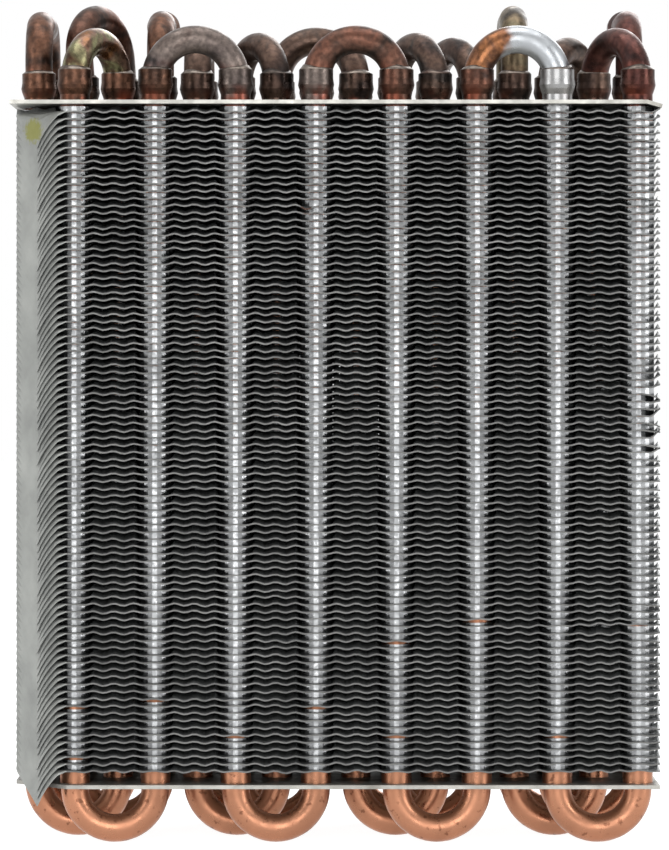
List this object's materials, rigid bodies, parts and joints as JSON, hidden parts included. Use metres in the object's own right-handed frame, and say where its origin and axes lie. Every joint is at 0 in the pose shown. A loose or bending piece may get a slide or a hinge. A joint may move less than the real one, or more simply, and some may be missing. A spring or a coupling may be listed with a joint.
{
  "type": "evaporator core",
  "caption": "Finned refrigerant core: staggered copper tubes through a stack of thin aluminium fins, with hairpin bends below and brazed return bends above.",
  "frame": {"origin": "middle of the footprint, at the height of the lowest point of the hairpin bends", "axes": "+Z along the tubes, from the hairpin bends to the return bends; +X along a row of tubes; the front face that the air enters looks towards -Y"},
  "size_m": [0.205, 0.088, 0.2684],
  "materials": {
    "copper_tube": "bare copper, lightly stained",
    "tarnished_copper": "heat-tarnished copper with traces of braze",
    "fin_stock": "thin mill-finish sheet",
    "end_plate": "dull galvanised sheet"
  },
  "bodies": {
    "root": {"bottom_end_plate": "end_plate", "top_end_plate": "end_plate", "hairpin_row1_1": "copper_tube", "hairpin_row1_2": "copper_tube", "hairpin_row1_3": "copper_tube", "hairpin_row1_4": "copper_tube", "hairpin_row2_1": "copper_tube", "hairpin_row2_2": "copper_tube", "hairpin_row2_3": "copper_tube", "hairpin_row2_4": "copper_tube", "hairpin_row3_1": "copper_tube", "hairpin_row3_2": "copper_tube", "hairpin_row3_3": "copper_tube", "hairpin_row3_4": "copper_tube", "hairpin_row4_1": "copper_tube", "hairpin_row4_2": "copper_tube", "hairpin_row4_3": "copper_tube", "hairpin_row4_4": "copper_tube", "return_bend_front_a": "tarnished_copper", "return_bend_front_b": "tarnished_copper", "return_bend_front_c": "tarnished_copper", "row_bend_left": "tarnished_copper", "row_bend_right": "tarnished_copper", "row_bend_middle_a": "tarnished_copper", "row_bend_middle_b": "tarnished_copper", "row_bend_middle_c": "tarnished_copper", "row_bend_rear_a": "tarnished_copper", "row_bend_rear_b": "tarnished_copper", "row_bend_rear_leaning": "tarnished_copper", "return_bend_rear_raised": "tarnished_copper", "crossover_bend_left": "tarnished_copper", "crossover_bend_low": "tarnished_copper", "crossover_bend_right": "tarnished_copper", "inlet_elbow": "tarnished_copper", "outlet_elbow": "tarnished_copper", "fins_01": "fin_stock", "fins_02": "fin_stock", "fins_03": "fin_stock", "fins_04": "fin_stock", "fins_05": "fin_stock", "fins_06": "fin_stock", "fins_07": "fin_stock", "fins_08": "fin_stock", "fins_09": "fin_stock", "fins_10": "fin_stock", "fins_11": "fin_stock", "fins_12": "fin_stock", "fins_13": "fin_stock", "fins_14": "fin_stock", "fins_15": "fin_stock", "fins_16": "fin_stock", "fins_17": "fin_stock", "fins_18": "fin_stock", "fins_19": "fin_stock", "fins_20": "fin_stock", "fins_21": "fin_stock", "fins_22": "fin_stock", "fins_23": "fin_stock"}
  },
  "joints": []
}
